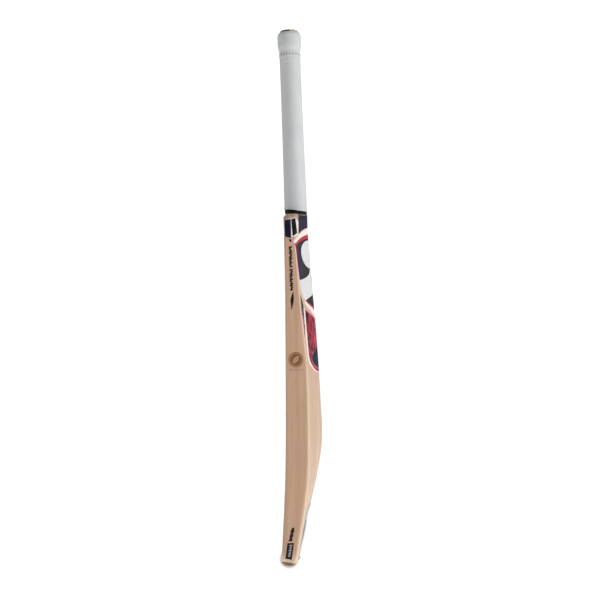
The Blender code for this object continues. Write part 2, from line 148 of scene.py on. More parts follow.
def look_at(thing, target):
    direction = Vector(target) - thing.location
    thing.rotation_euler = direction.to_track_quat("-Z", "Y").to_euler()


def make_camera():
    """A level camera square to the +X edge, at about half the bat's height."""
    data = bpy.data.cameras.new("camera")
    data.sensor_width = 36.0
    data.lens = VIEW_LENS
    camera = add_object("camera", data)
    camera.location = (VIEW_DISTANCE, *VIEW_MIDDLE)
    look_at(camera, (0.0, *VIEW_MIDDLE))
    bpy.context.scene.camera = camera


def make_light(name, place, target, size, power, colour=(1, 1, 1)):
    data = bpy.data.lights.new(name, "AREA")
    data.shape = "RECTANGLE"
    data.size, data.size_y = size
    data.energy = power
    data.color = colour
    light = add_object(name, data)
    light.location = place
    look_at(light, target)


def make_world():
    """White all round: bright to the camera, and softer as a light."""
    world = bpy.data.worlds.new("studio")
    world.use_nodes = True
    nodes, links = world.node_tree.nodes, world.node_tree.links
    nodes.clear()
    rays = nodes.new("ShaderNodeLightPath")
    mix = nodes.new("ShaderNodeMixShader")
    out = nodes.new("ShaderNodeOutputWorld")
    links.new(rays.outputs["Is Camera Ray"], mix.inputs[0])
    links.new(mix.outputs[0], out.inputs["Surface"])
    for socket, colour, strength in ((1, (0.96, 0.98, 1.0, 1), 0.13), (2, (1, 1, 1, 1), 1.1)):
        white = nodes.new("ShaderNodeBackground")
        white.inputs["Color"].default_value = colour
        white.inputs["Strength"].default_value = strength
        links.new(white.outputs[0], mix.inputs[socket])
    bpy.context.scene.world = world


def make_floor():
    """A plain white floor. Its glow hides where it meets the background, and fades out under the toe as a
    painted contact shadow.
    """
    mesh_data = bmesh.new()
    bmesh.ops.create_grid(mesh_data, x_segments=2, y_segments=2, size=FLOOR_REACH)
    floor = mesh_object("floor", mesh_data)
    paper = Finish("floor_white", 0.9, 0.1, **{"Emission Strength": 1.0})
    paper.colour((0.85, 0.85, 0.85))
    length = paper.math("DIVIDE", paper.axis(0), SHADE_HALF_LENGTH)
    width = paper.math("DIVIDE", paper.math("ADD", paper.axis(1), SHADE_FORWARD), SHADE_HALF_WIDTH)
    squares = [paper.math("MULTIPLY", side, side) for side in (length, width)]
    away = paper.math("MULTIPLY", paper.math("SQRT", paper.math("ADD", *squares)), 0.1)
    # The glow dips in the oval under the toe: a painted contact shadow
    glow = paper.ramp(away, (0.085, 0.02), (0.100, 0.30), (0.122, 0.78), (0.160, 0.92))
    paper.put(paper.shader.inputs["Emission Color"], glow)
    floor.data.materials.append(paper.material)


def make_studio():
    middle = (0, 0, 0.45)
    make_camera()
    make_world()
    make_floor()
    make_light("key_back", (0.9, 2.2, 1.0), middle, (1.2, 1.6), 31, (1.0, 0.985, 0.96))
    make_light("front_fill", (2.2, -0.6, 1.1), middle, (1.6, 1.6), 2)
    make_light("face_fill", (-1.2, -2.2, 1.0), middle, (1.6, 1.6), 2)
    make_light("top_fill", (0.2, 0.2, 2.6), middle, (1.6, 1.6), 9)
    view = bpy.context.scene.view_settings
    view.view_transform = "Standard"
    view.look = "None"


# ------------ blade form


def smooth_values(height):
    """Y of the face, of the edge's back corner and of the spine, on a smooth curve through the stations."""
    heights = STATIONS[:, 0]
    height = min(max(height, heights[0]), heights[-1])
    low = min(int(np.searchsorted(heights, height, side="right")) - 1, len(heights) - 2)
    high = low + 1
    before = max(low - 1, 0)
    after = min(high + 1, len(heights) - 1)
    start_slope = (STATIONS[high] - STATIONS[before]) / (heights[high] - heights[before])
    end_slope = (STATIONS[after] - STATIONS[low]) / (heights[after] - heights[low])
    span = heights[high] - heights[low]
    t = (height - heights[low]) / span
    values = (
        (2 * t**3 - 3 * t**2 + 1) * STATIONS[low]
        + (t**3 - 2 * t**2 + t) * span * start_slope
        + (3 * t**2 - 2 * t**3) * STATIONS[high]
        + (t**3 - t**2) * span * end_slope
    )
    return values[1:]


def share_between(value, low, high):
    """How far a value lies from low to high, as a share from 0 to 1."""
    return min(max((value - low) / (high - low), 0), 1)


def half_width(height):
    if height < TOE_CORNER_HEIGHT:
        drop = 1 - max(height, 0) / TOE_CORNER_HEIGHT
        return HALF_WIDTH - TOE_CORNER_WIDTH * (1 - math.sqrt(1 - drop**2))
    if height > SHOULDER_START:
        rise = share_between(height, SHOULDER_START, BLADE_TOP)
        return SHOULDER_NECK + (HALF_WIDTH - SHOULDER_NECK) * math.sqrt(1 - rise**2)
    return HALF_WIDTH


def corner_sizes(height):
    shoulder = share_between(height, SHOULDER_START, BLADE_TOP)
    front = FACE_CORNER + (SHOULDER_CORNER - FACE_CORNER) * shoulder
    swell = math.exp(-(((height - SWELL_HEIGHT) / SWELL_REACH) ** 2))
    back = BACK_CORNER + (SWELL_BACK_CORNER - BACK_CORNER) * swell
    return front, back


def face_y(x, height, inset=0.0):
    return smooth_values(height)[0] + inset + FACE_CAMBER * (x / half_width(height)) ** 2


def back_y(x, height, inset=0.0):
    """Y of the back at x: a rounded ridge in the middle and hollowed flanks out to the edges."""
    share = np.minimum(np.abs(x) / half_width(height), 1)
    far = math.hypot(1, RIDGE_ROUNDING)
    rise = (far - np.hypot(share, RIDGE_ROUNDING)) / (far - RIDGE_ROUNDING)
    _, edge, spine = smooth_values(height)
    return edge - inset + (spine - edge) * np.maximum(rise, 0) ** FLANK_HOLLOW


def rounded(start, corner, end, count):
    """Points inside a rounded corner, from start to end, both left out."""
    t = (np.arange(1, count + 1) / (count + 1))[:, None]
    return start * (1 - t) ** 2 + corner * 2 * t * (1 - t) + end * t**2


@functools.lru_cache(maxsize=None)
def half_section(height, inset=0.0, face_steps=16, corner_steps=6, flank_steps=34):
    """The section's +X half as rows of (x, y), from the middle of the face to the spine."""
    width = half_width(height) - inset
    front, back = corner_sizes(height)
    face_x = (width - front) * np.arange(face_steps + 1) / face_steps
    face = np.column_stack((face_x, face_y(face_x, height, inset)))
    edge_front = np.array((width, face_y(width, height, inset)))
    edge_back = np.array((width, smooth_values(height)[1] - inset))
    edge_start = edge_front + (0, front)
    edge_end = edge_back - (0, back * np.interp(height, CORNER_BLEND, EDGE_SHARE))
    flank_x = (width - back) * (1 - np.arange(flank_steps + 1) / flank_steps) ** 1.2
    flank = np.column_stack((flank_x, back_y(flank_x, height, inset)))
    front_corner = rounded(face[-1], edge_front, edge_start, corner_steps)
    back_corner = rounded(edge_end, edge_back, flank[0], corner_steps)
    edge = edge_start + (edge_end - edge_start) * (np.arange(7) / 6)[:, None]
    return np.vstack((face, front_corner, edge, back_corner, flank))


def section_height(height, y):
    """Height of a section's point: the toe's underside and the shoulders' top both slope in to the face."""
    face, _, spine = smooth_values(height)
    if height < TOE_CORNER_HEIGHT:
        share = (spine - TOE_ROUNDING - y) / (spine - face)
        return height + TOE_RISE * share * (1 - height / TOE_CORNER_HEIGHT)
    rise = share_between(height, SHOULDER_START, BLADE_TOP)
    share = np.clip((SHOULDER_DROP_START - y) / (SHOULDER_DROP_START - face), 0, 1)
    return height - SHOULDER_DROP * rise**3 * share**2


def blade_ring(height, inset):
    half = half_section(height, inset)
    ring = np.vstack((half, half[-2:0:-1] * (-1, 1)))
    return np.column_stack((ring, section_height(height, ring[:, 1])))


def blade_rings():
    """Heights and insets of the blade's rings, with its two ends rounded over."""
    angles = np.radians(np.linspace(0, 90, 9))
    rings = [(TOE_ROUNDING * (1 - math.cos(a)), TOE_ROUNDING * (1 - math.sin(a))) for a in angles]
    rings += [(height, 0.0) for height in np.linspace(0.0040, TOE_CORNER_HEIGHT, 14)]
    rings += [(height, 0.0) for height in np.linspace(0.0265, SHOULDER_START, 190)]
    turns = np.radians(np.linspace(3, 78, 36))
    rings += [(SHOULDER_START + (BLADE_TOP - SHOULDER_START) * math.sin(turn), 0.0) for turn in turns]
    crown = BLADE_TOP - CROWN_ROUNDING
    top = [(crown + CROWN_ROUNDING * math.sin(a), CROWN_ROUNDING * (1 - math.cos(a))) for a in angles]
    return rings + [ring for ring in top if ring[0] > rings[-1][0] + 0.0002]


# ------------ mesh helpers


def add_object(name, data):
    made = bpy.data.objects.new(name, data)
    bpy.context.scene.collection.objects.link(made)
    return made


def mesh_object(name, mesh_data):
    """An object with the faces in mesh_data, which is used up."""
    bmesh.ops.recalc_face_normals(mesh_data, faces=mesh_data.faces)
    mesh = bpy.data.meshes.new(name)
    mesh_data.to_mesh(mesh)
    mesh_data.free()
    return add_object(name, mesh)


def smooth(piece, sharp=35):
    """Shades a piece smooth, except at edges that turn by more than sharp degrees."""
    piece.data.shade_smooth()
    piece.data.set_sharp_from_angle(angle=math.radians(sharp))


def make_piece(name, mesh_data, materials, stands_for=(), sharp=35):
    """A finished piece of the bat: closed mesh, materials, and the CAD nodes that it stands for."""
    piece = mesh_object(name, mesh_data)
    for material in materials:
        piece.data.materials.append(material)
    smooth(piece, sharp)
    return register(piece, stands_for)


def register(piece, stands_for):
    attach(piece, "root")
    if stands_for:
        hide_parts(*stands_for)
    return piece


def loft(rings, closed=False, mesh_data=None, slot=0):
    """Faces through rings of equal length, with the ends capped unless the loft closes on itself."""
    mesh_data = mesh_data or bmesh.new()
    rows = [[mesh_data.verts.new(point) for point in ring] for ring in rings]
    pairs = list(zip(rows, rows[1:]))
    if closed:
        pairs.append((rows[-1], rows[0]))
    made = []
    for lower, upper in pairs:
        for i in range(len(lower)):
            j = (i + 1) % len(lower)
            made.append(mesh_data.faces.new((lower[i], lower[j], upper[j], upper[i])))
    if not closed:
        made += [mesh_data.faces.new(rows[0]), mesh_data.faces.new(rows[-1])]
    for face in made:
        face.material_index = slot
    return mesh_data


def level(angle, height):
    return 0.0


def about_handle(radius, angle, height):
    return HANDLE_FRAME @ Vector((radius * math.cos(angle), radius * math.sin(angle), height))


def turned_rings(profile, segments, swell=level, lift=level):
    """Rings of (radius, height) about the handle's axis. swell and lift add to the radius and the height."""
    rings = []
    for radius, height in profile:
        ring = []
        for i in range(segments):
            angle = 2 * math.pi * i / segments
            ring.append(about_handle(radius + swell(angle, height), angle, height + lift(angle, height)))
        rings.append(ring)
    return rings


def apply_boolean(target, cutter, operation):
    """Runs one Boolean and keeps its result as the target's mesh."""
    modifier = target.modifiers.new("cut", "BOOLEAN")
    modifier.operation = operation
    modifier.solver = "EXACT"
    modifier.object = cutter
    graph = bpy.context.evaluated_depsgraph_get()
    result = bpy.data.meshes.new_from_object(target.evaluated_get(graph))
    target.modifiers.clear()
    old, target.data = target.data, result
    bpy.data.meshes.remove(old)


def remove(thing):
    mesh = thing.data
    bpy.data.objects.remove(thing)
    bpy.data.meshes.remove(mesh)


# ------------ materials


class Finish:
    """A Principled material and the texture nodes that feed it. Textures read the bat's own metres."""

    def __init__(self, name, roughness, specular, **fixed):
        self.material = bpy.data.materials.new(name)
        self.material.use_nodes = True
        self.nodes = self.material.node_tree.nodes
        self.links = self.material.node_tree.links
        self.shader = self.nodes["Principled BSDF"]
        fixed.update({"Roughness": roughness, "Specular IOR Level": specular})
        for socket, value in fixed.items():
            self.put(self.shader.inputs[socket], value)
        self.place = self.add("TexCoord", {}).outputs["Object"]

    def put(self, socket, value):
        """Sets a socket to a number or colour, or links it to another node's output."""
        if isinstance(value, bpy.types.NodeSocket):
            self.links.new(value, socket)
        elif isinstance(value, tuple) and len(value) == 3 and socket.type == "RGBA":
            socket.default_value = (*value, 1)
        else:
            socket.default_value = value

    def add(self, kind, inputs):
        """A new node, with its inputs set or linked."""
        node = self.nodes.new("ShaderNode" + kind)
        for socket, value in inputs.items():
            self.put(node.inputs[socket], value)
        return node

    def stretched(self, scale, turn):
        """Coordinates scaled along each axis, so that a small number draws a long streak."""
        node = self.add("Mapping", {"Vector": self.place, "Scale": scale, "Rotation": turn})
        return node.outputs["Vector"]

    def noise(self, scale, detail=4.0, rough=0.55, turn=(0, 0, 0), distortion=0.0):
        look = {"Scale": 1.0, "Detail": detail, "Roughness": rough, "Distortion": distortion}
        return self.add("TexNoise", {"Vector": self.stretched(scale, turn), **look}).outputs["Fac"]

    def cells(self, scale, turn=(0, 0, 0)):
        node = self.add("TexVoronoi", {"Vector": self.stretched(scale, turn), "Scale": 1.0})
        return node.outputs["Distance"]

    def axis(self, index):
        return self.add("SeparateXYZ", {0: self.place}).outputs[index]

    def math(self, operation, first, second=0.0):
        node = self.add("Math", {0: first, 1: second})
        node.operation = operation
        return node.outputs[0]

    def ramp(self, value, *stops):
        """A colour ramp through (position, colour) stops."""
        node = self.add("ValToRGB", {"Fac": value})
        elements = node.color_ramp.elements
        while len(elements) < len(stops):
            elements.new(0.5)
        for element, (position, colour) in zip(elements, stops):
            element.position = position
            element.color = (*colour, 1) if isinstance(colour, tuple) else (colour, colour, colour, 1)
        return node.outputs["Color"]

    def blend(self, share, first, second, kind="MIX"):
        node = self.nodes.new("ShaderNodeMix")
        node.data_type = "RGBA"
        node.blend_type = kind
        self.put(node.inputs[0], share)
        self.put(node.inputs[6], first)
        self.put(node.inputs[7], second)
        return node.outputs[2]

    def colour(self, value):
        self.put(self.shader.inputs["Base Color"], value)

    def roughness(self, value, low, high):
        node = self.add("MapRange", {"Value": value, "To Min": low, "To Max": high})
        self.links.new(node.outputs["Result"], self.shader.inputs["Roughness"])

    def bump(self, *layers):
        """Bumps of (height, distance in metres), each on top of the last."""
        normal = None
        for height, distance in layers:
            node = self.add("Bump", {"Distance": distance, "Height": height})
            if normal:
                self.links.new(normal, node.inputs["Normal"])
            normal = node.outputs["Normal"]
        self.links.new(normal, self.shader.inputs["Normal"])


def toned(tone, colour):
    return tuple(tone * value for value in colour)


def willow():
    """Pale willow: growth lines about 9 mm apart across the blade, streaks and fibres along it."""
    wood = Finish("willow", 0.42, 0.38)
    light = (0.640, 0.466, 0.340)
    dark = (0.480, 0.312, 0.206)
    pink = (0.640, 0.438, 0.340)
    sway = wood.noise((14, 10, 2.2), 2.0)
    across = wood.math("MULTIPLY", wood.axis(0), 112.0)
    ringed = wood.math("ADD", across, wood.math("MULTIPLY", sway, 2.6))
    ringed = wood.math("ADD", ringed, wood.math("MULTIPLY", wood.axis(1), 34.0))
    ring = wood.math("FRACT", ringed)
    rings = wood.ramp(ring, (0.0, 0.0), (0.55, 0.10), (0.86, 0.62), (0.93, 1.0), (1.0, 0.0))
    patch = wood.noise((9, 9, 1.6), 2.0)
    colour = wood.blend(wood.ramp(patch, (0.35, 0.0), (0.70, 1.0)), light, pink)
    colour = wood.blend(wood.math("MULTIPLY", rings, 0.42), colour, dark)
    streaks = wood.noise((260, 260, 3.5), 3.0, 0.6)
    colour = wood.blend(wood.ramp(streaks, (0.36, 0.30), (0.62, 0.0)), colour, dark)
    bands = wood.noise((85, 85, 2.4), 2.0, 0.5)
    colour = wood.blend(wood.ramp(bands, (0.40, 0.48), (0.60, 0.0)), colour, dark)
    fibres = wood.noise((1500, 1500, 26), 3.0, 0.6)
    colour = wood.blend(0.16, colour, wood.ramp(fibres, (0.3, 0.25), (0.7, 0.95)), "OVERLAY")
    flecks = wood.noise((620, 620, 75), 2.0, 0.5)
    colour = wood.blend(wood.ramp(flecks, (0.70, 0.0), (0.80, 0.55)), colour, (0.33, 0.20, 0.11))
    off_middle = wood.math("MULTIPLY", wood.math("ABSOLUTE", wood.axis(0)), 10.0)
    # Painted highlight: a pale band along the rounded corners, where |x| is about 50 mm
    corner = wood.ramp(off_middle, (0.478, 0.0), (0.502, 0.75), (0.526, 0.0))
    colour = wood.blend(corner, colour, (0.800, 0.660, 0.500))
    # Painted shade: the edge faces, at the full half width, are multiplied darker and warmer than the back
    edge = wood.ramp(off_middle, (0.531, 0.0), (0.5385, 1.0))
    wood.colour(wood.blend(edge, colour, (0.900, 0.820, 0.740), "MULTIPLY"))
    wood.roughness(fibres, 0.34, 0.56)
    wood.bump((fibres, 0.00006), (streaks, 0.00012), (ring, 0.00003))
    return wood.material


def burnt_willow():
    """Willow browned by an engraving laser."""
    wood = Finish("burnt_willow", 0.62, 0.2)
    fibres = wood.noise((900, 900, 22), 3.0, 0.6)
    scorch = wood.noise((300, 300, 300), 2.0)
    grain = wood.ramp(fibres, (0.30, 0.0), (0.70, 1.0))
    colour = wood.blend(grain, (0.200, 0.074, 0.026), (0.330, 0.145, 0.060))
    wood.colour(wood.blend(wood.ramp(scorch, (0.45, 0.0), (0.75, 0.5)), colour, (0.09, 0.035, 0.012)))
    wood.roughness(scorch, 0.50, 0.75)
    wood.bump((fibres, 0.00008),)
    return wood.material


def cane(name, tone):
    """Golden cane: dark bundles along the handle, and on its sawn end dots, and painted shade on the sawn
    end's face side.
    """
    wood = Finish(name, 0.5, 0.35)
    turn = (-HANDLE_LEAN, 0, 0)
    bundles = wood.cells((1150, 1150, 9), turn=turn)
    fibres = wood.noise((2300, 2300, 30), 3.0, turn=turn)
    patch = wood.noise((90, 90, 7), 2.0, turn=turn)
    light = toned(tone, (0.62, 0.45, 0.27))
    dark = toned(tone, (0.27, 0.14, 0.055))
    colour = wood.blend(wood.ramp(bundles, (0.16, 1.0), (0.36, 0.0)), light, dark)
    colour = wood.blend(wood.ramp(patch, (0.35, 0.45), (0.65, 0.0)), colour, dark)
    colour = wood.blend(0.2, colour, wood.ramp(fibres, (0.3, 0.2), (0.7, 0.9)), "OVERLAY")
    # Painted shade: the sawn end darkens towards the face, the side away from the lights
    painted_shade_face_side = wood.ramp(wood.math("MULTIPLY", wood.axis(1), -10.0), (0.145, 0.0), (0.190, 0.9))
    sawn = wood.ramp(wood.axis(2), (0.8510, 0.0), (0.8540, 1.0))
    colour = wood.blend(wood.math("MULTIPLY", painted_shade_face_side, sawn), colour, (0.050, 0.030, 0.022))
    wood.colour(colour)
    wood.roughness(fibres, 0.40, 0.66)
    wood.bump((bundles, 0.00010), (fibres, 0.00005))
    return wood.material


def spring_rubber():
    rubber = Finish("spring_rubber", 0.8, 0.3)
    grains = rubber.noise((2600, 2600, 2600), 3.0)
    dust = rubber.noise((160, 160, 160), 3.0)
    dusty = rubber.ramp(dust, (0.4, 0.0), (0.8, 0.6))
    rubber.colour(rubber.blend(dusty, (0.022, 0.020, 0.018), (0.075, 0.066, 0.055)))
    rubber.roughness(dust, 0.70, 0.92)
    rubber.bump((grains, 0.00005),)
    return rubber.material


def thread(name, dark, light, rough):
    """Twisted thread: slanting fibres with a little wax and fluff."""
    fibre = Finish(name, rough, 0.15)
    twist = fibre.noise((1500, 1500, 5200), 2.0, turn=(0.6, 0.5, 0))
    wax = fibre.noise((240, 240, 240), 3.0)
    colour = fibre.blend(fibre.ramp(twist, (0.35, 0.0), (0.65, 1.0)), dark, light)
    fibre.colour(fibre.blend(fibre.ramp(wax, (0.5, 0.0), (0.8, 0.35)), colour, light))
    fibre.roughness(wax, rough - 0.15, rough + 0.12)
    fibre.bump((twist, 0.00010),)
    return fibre.material


def grip_rubber(name="grip_rubber", tone=1.0):
    """White rubber with a fine moulded grain, faint mottling and a little grey from handling."""
    rubber = Finish(name, 0.6, 0.35, **{"Sheen Weight": 0.08, "Sheen Roughness": 0.6})
    grain = rubber.cells((1500, 1500, 1500))
    ribs = rubber.noise((420, 420, 8), 2.0)
    mottle = rubber.noise((55, 55, 22), 4.0, 0.6)
    white = toned(tone, (0.600, 0.608, 0.615))
    grey = toned(tone, (0.520, 0.532, 0.543))
    colour = rubber.blend(rubber.ramp(mottle, (0.35, 0.0), (0.72, 1.0)), white, grey)
    colour = rubber.blend(rubber.ramp(grain, (0.10, 0.16), (0.45, 0.0)), colour, (0.36, 0.36, 0.37))
    rubber.colour(rubber.blend(rubber.ramp(ribs, (0.58, 0.0), (0.80, 0.22)), colour, grey))
    rubber.roughness(mottle, 0.50, 0.70)
    rubber.bump((grain, 0.00006), (ribs, 0.00010))
    return rubber.material


def ink(name, colour, shade, rough=0.38):
    """Printed film: even colour with a faint press pattern, and a satin face."""
    film = Finish(name, rough, 0.16)
    specks = film.noise((3200, 3200, 3200), 2.0)
    wash = film.noise((70, 70, 45), 3.0)
    mixed = film.blend(film.ramp(wash, (0.32, 0.0), (0.72, 0.8)), colour, shade)
    film.colour(film.blend(film.ramp(specks, (0.55, 0.0), (0.80, 0.30)), mixed, shade))
    film.roughness(wash, rough - 0.06, rough + 0.14)
    film.bump((specks, 0.000015), (wash, 0.00008))
    return film.material


def brushed_ink(name, ground, stroke):
    """Printed film with slanting dry-brush strokes of a second colour and pale red drops."""
    lean = (0.62, 0.30, 0)
    film = Finish(name, 0.38, 0.16)
    strokes = film.noise((400, 400, 70), 4.0, 0.60, turn=lean, distortion=1.2)
    drops = film.noise((330, 330, 200), 3.0, 0.6, turn=lean)
    where = film.noise((60, 60, 30), 2.0)
    patches = film.ramp(where, (0.30, 0.30), (0.46, 1.0))
    cover = film.math("MULTIPLY", film.ramp(strokes, (0.46, 0.0), (0.50, 1.0)), patches)
    colour = film.blend(cover, ground, stroke)
    film.colour(film.blend(film.ramp(drops, (0.64, 0.0), (0.68, 1.0)), colour, (0.640, 0.230, 0.310)))
    film.roughness(where, 0.26, 0.44)
    film.bump((cover, 0.00002), (drops, 0.00004))
    return film.material


def fading_ink(name, low, high):
    """Printed silver that fades to pale lilac towards the toe. low and high bound the fade."""
    film = Finish(name, 0.26, 0.5, Metallic=0.15)
    wash = film.noise((130, 130, 30), 3.0, 0.6)
    height = film.math("DIVIDE", film.math("SUBTRACT", film.axis(2), low), high - low)
    swirl = film.math("ADD", film.math("MULTIPLY", height, 0.66), film.math("MULTIPLY", wash, 0.34))
    film.colour(film.ramp(
        swirl,
        (0.18, (0.86, 0.79, 0.82)),
        (0.38, (0.62, 0.56, 0.66)),
        (0.56, (0.40, 0.43, 0.51)),
        (0.68, (0.74, 0.74, 0.77)),
        (0.82, (0.50, 0.50, 0.55)),
    ))
    film.roughness(wash, 0.22, 0.42)
    film.bump((wash, 0.00006),)
    return film.material


# Plain printing inks: colour and shade
INKS = {
    "navy": ((0.006, 0.006, 0.026), (0.014, 0.012, 0.038)),
    "dusk": ((0.026, 0.022, 0.050), (0.048, 0.040, 0.076)),
    "black": ((0.005, 0.004, 0.006), (0.013, 0.010, 0.013)),
    "charcoal": ((0.022, 0.026, 0.025), (0.036, 0.040, 0.038)),
    "red": ((0.520, 0.040, 0.060), (0.420, 0.030, 0.055)),
    "white": ((0.690, 0.700, 0.720), (0.630, 0.640, 0.670)),
    "cream": ((0.850, 0.785, 0.740), (0.800, 0.720, 0.665)),
    "grey": ((0.42, 0.42, 0.45), (0.34, 0.34, 0.38)),
    "violet": ((0.120, 0.100, 0.155), (0.080, 0.068, 0.112)),
    "pink": ((0.560, 0.210, 0.290), (0.480, 0.160, 0.240)),
}


def make_finishes():
    finishes = {name: ink("ink_" + name, *colours) for name, colours in INKS.items()}
    finishes.update({
        "willow": willow(),
        "burnt": burnt_willow(),
        "cane": [cane(f"cane_{i}", tone) for i, tone in enumerate((1.0, 0.86, 1.12))],
        "spring": spring_rubber(),
        "twine": thread("waxed_twine", (0.42, 0.32, 0.19), (0.62, 0.50, 0.33), 0.62),
        "whipping": thread("black_whipping", (0.003, 0.003, 0.004), (0.016, 0.016, 0.018), 0.60),
        "grip": grip_rubber(),
        "raised": grip_rubber("grip_raised", 0.60),
        "brush": brushed_ink("ink_brushed_red", (0.590, 0.048, 0.085), (0.018, 0.010, 0.016)),
        "silver": fading_ink("ink_silver", 0.010, 0.085),
    })
    return finishes


# ------------ blade, cane and springs


def splice_half(height):
    share = (height - SPLICE_TIP) / (BLADE_TOP - SPLICE_TIP)
    return SPLICE_TIP_HALF + (SPLICE_TOP_HALF - SPLICE_TIP_HALF) * share


def make_blade(finishes):
    rings = [blade_ring(height, inset) for height, inset in blade_rings()]
    blade = make_piece("willow_blade", loft(rings), [finishes["willow"]], ["blade"])
    foot = SPLICE_TIP - GLUE_LINE
    crown = BLADE_TOP + 0.010
    narrow, wide = (splice_half(height) + GLUE_LINE for height in (foot, crown))
    corners = ((-narrow, foot), (narrow, foot), (wide, crown), (-wide, crown))
    slot = mesh_object("slot", loft([[(x, y, z) for x, z in corners] for y in (-0.06, 0.06)]))
    apply_boolean(blade, slot, "DIFFERENCE")
    remove(slot)
    smooth(blade)


def wedge_ring(height, inset):
    """A section of the handle's wedge: flush with the face and back, and as wide as the splice."""
    half = splice_half(height)
    places = half * np.linspace(-1, 1, 13)
    front = np.column_stack((places, face_y(places, height, inset)))
    back = np.column_stack((places[::-1], back_y(places[::-1], height, inset)))
    share = (np.arange(1, 12) / 12)[:, None]
    right = front[-1] + (back[0] - front[-1]) * share
    left = back[-1] + (front[0] - back[-1]) * share
    ring = np.vstack((front, right, back, left))
    settled = section_height(height, ring[:, 1])
    return [Vector(point) for point in zip(ring[:, 0] * splice_half(settled) / half, ring[:, 1], settled)]


def stem_ring(radius, height):
    """A round section of the stem, in step with the wedge's rings."""
    return [about_handle(radius, math.radians(-135 + 7.5 * i), height) for i in range(48)]


def make_handle_former():
    rings = [wedge_ring(height, 0.0) for height in np.linspace(SPLICE_TIP, BLADE_TOP - 0.0012, 46)]
    rings.append(wedge_ring(BLADE_TOP - 0.0004, 0.0010))
    rings.append(stem_ring(STEM_FOOT_RADIUS, 0.0006))
    rings.append(stem_ring(STEM_FOOT_RADIUS, STEM_TAPER_START))
    rings.append(stem_ring(STEM_TOP_RADIUS, STEM_TAPER_END))
    for i in range(5):
        turn = math.radians(22.5 * i)
        rings.append(stem_ring(
            STEM_TOP_RADIUS - STEM_CHAMFER * (1 - math.cos(turn)),
            HANDLE_LENGTH - STEM_CHAMFER * (1 - math.sin(turn)),
        ))
    return mesh_object("former", loft(rings))


def cut_from_former(name, former, low, high, material):
    """The part of the handle former inside a box in the handle's own frame. It replaces its CAD node."""
    mesh_data = bmesh.new()
    middle = (Vector(low) + Vector(high)) / 2
    size = Vector(high) - Vector(low)
    box = HANDLE_FRAME @ Matrix.Translation(middle) @ Matrix.Diagonal((*size, 1))
    bmesh.ops.create_cube(mesh_data, size=1.0, matrix=box)
    cutter = mesh_object("cutter", mesh_data)
    piece = add_object("fine_" + name, former.data.copy())
    piece.data.materials.append(material)
    apply_boolean(piece, cutter, "INTERSECT")
    remove(cutter)
    smooth(piece)
    register(piece, [name])


def make_cane_and_springs(finishes):
    """Four slabs of cane, each of three strips, with a rubber spring between each slab and the next."""
    former = make_handle_former()
    reach = 0.04
    low_z = SPLICE_TIP - HANDLE_FOOT.z - 0.02
    high_z = HANDLE_LENGTH + 0.02
    bare = SPRING_THICKNESS / 2 + GLUE_LINE / 2
    slabs = (
        (-reach, -SLAB_PITCH - bare),
        (-SLAB_PITCH + bare, -bare),
        (bare, SLAB_PITCH - bare),
        (SLAB_PITCH + bare, reach),
    )
    gap = GLUE_LINE / 2
    columns = ((-reach, -STRIP_HALF - gap), (-STRIP_HALF + gap, STRIP_HALF - gap), (STRIP_HALF + gap, reach))
    number = 0
    for slab, (near_y, far_y) in enumerate(slabs):
        for column, (near_x, far_x) in enumerate(columns):
            number += 1
            tone = finishes["cane"][(slab * 2 + column) % len(finishes["cane"])]
            low, high = (near_x, near_y, low_z), (far_x, far_y, high_z)
            cut_from_former(f"cane_strip_{number:02d}", former, low, high, tone)
    for i, middle in enumerate((-SLAB_PITCH, 0.0, SLAB_PITCH)):
        low = (-reach, middle - SPRING_THICKNESS / 2, low_z)
        high = (reach, middle + SPRING_THICKNESS / 2, high_z)
        cut_from_former(f"rubber_spring_{i + 1}", former, low, high, finishes["spring"])
    remove(former)


# ------------ twine, whipping and grip


def stem_radius(height):
    share = share_between(height, STEM_TAPER_START, STEM_TAPER_END)
    return STEM_FOOT_RADIUS + (STEM_TOP_RADIUS - STEM_FOOT_RADIUS) * share


def wound(pitch, depth):
    """A winding's ridges: round tops and narrow valleys on a helix of that pitch."""

    def swell(angle, height):
        turn = height / pitch - angle / (2 * math.pi)
        return -depth * (1 - abs(math.sin(math.pi * turn)) ** 0.6)

    return swell


def make_twine(finishes):
    """Waxed twine wound the length of the cane, under the grip."""
    heights = np.arange(TWINE_START, TWINE_END, TWINE_PITCH / 4)
    ridges = wound(TWINE_PITCH, 0.0004)
    outer = turned_rings([(stem_radius(h) + SLEEVE_GAP + TWINE_THICKNESS, h) for h in heights], 32, ridges)
    bore = [(stem_radius(h) + SLEEVE_GAP, h) for h in (heights[-1], STEM_TAPER_END, heights[0])]
    inner = turned_rings(bore, 32)
    mesh_data = loft(outer + inner, closed=True)
    make_piece("wound_twine", mesh_data, [finishes["twine"]], ["twine_binding"], 60)


def make_whipping(finishes):
    """Black thread wound round the handle's foot in about eleven turns, the lowest one flat on the blade."""
    inner = STEM_FOOT_RADIUS + SLEEVE_GAP
    heights = np.arange(WHIPPING_START, WHIPPING_END + 0.0001, THREAD_PITCH / 6)
    profile = []
    for height in heights:
        share = (height - WHIPPING_START) / (WHIPPING_END - WHIPPING_START)
        profile.append((WHIPPING_RADIUS - 0.0004 * abs(2 * share - 1) ** 8, height))
    ridges = wound(THREAD_PITCH, 0.00034)

    def settle(angle, height):
        share = 1 - (height - WHIPPING_START) / (WHIPPING_END - WHIPPING_START)
        return -share * (WHIPPING_RADIUS * math.tan(HANDLE_LEAN) + 0.0006) * math.sin(angle)

    rings = turned_rings([(inner, heights[0])], 96, lift=settle)
    rings += turned_rings(profile, 96, ridges, settle)
    rings += turned_rings([(inner, heights[-1])], 96, lift=settle)
    mesh_data = loft(rings, closed=True)
    threads = [finishes["whipping"]]
    make_piece("wound_whipping", mesh_data, threads, ["shoulder_whipping"], 70)


def grip_bore(height):
    return stem_radius(height) + TWINE_THICKNESS + 2 * SLEEVE_GAP


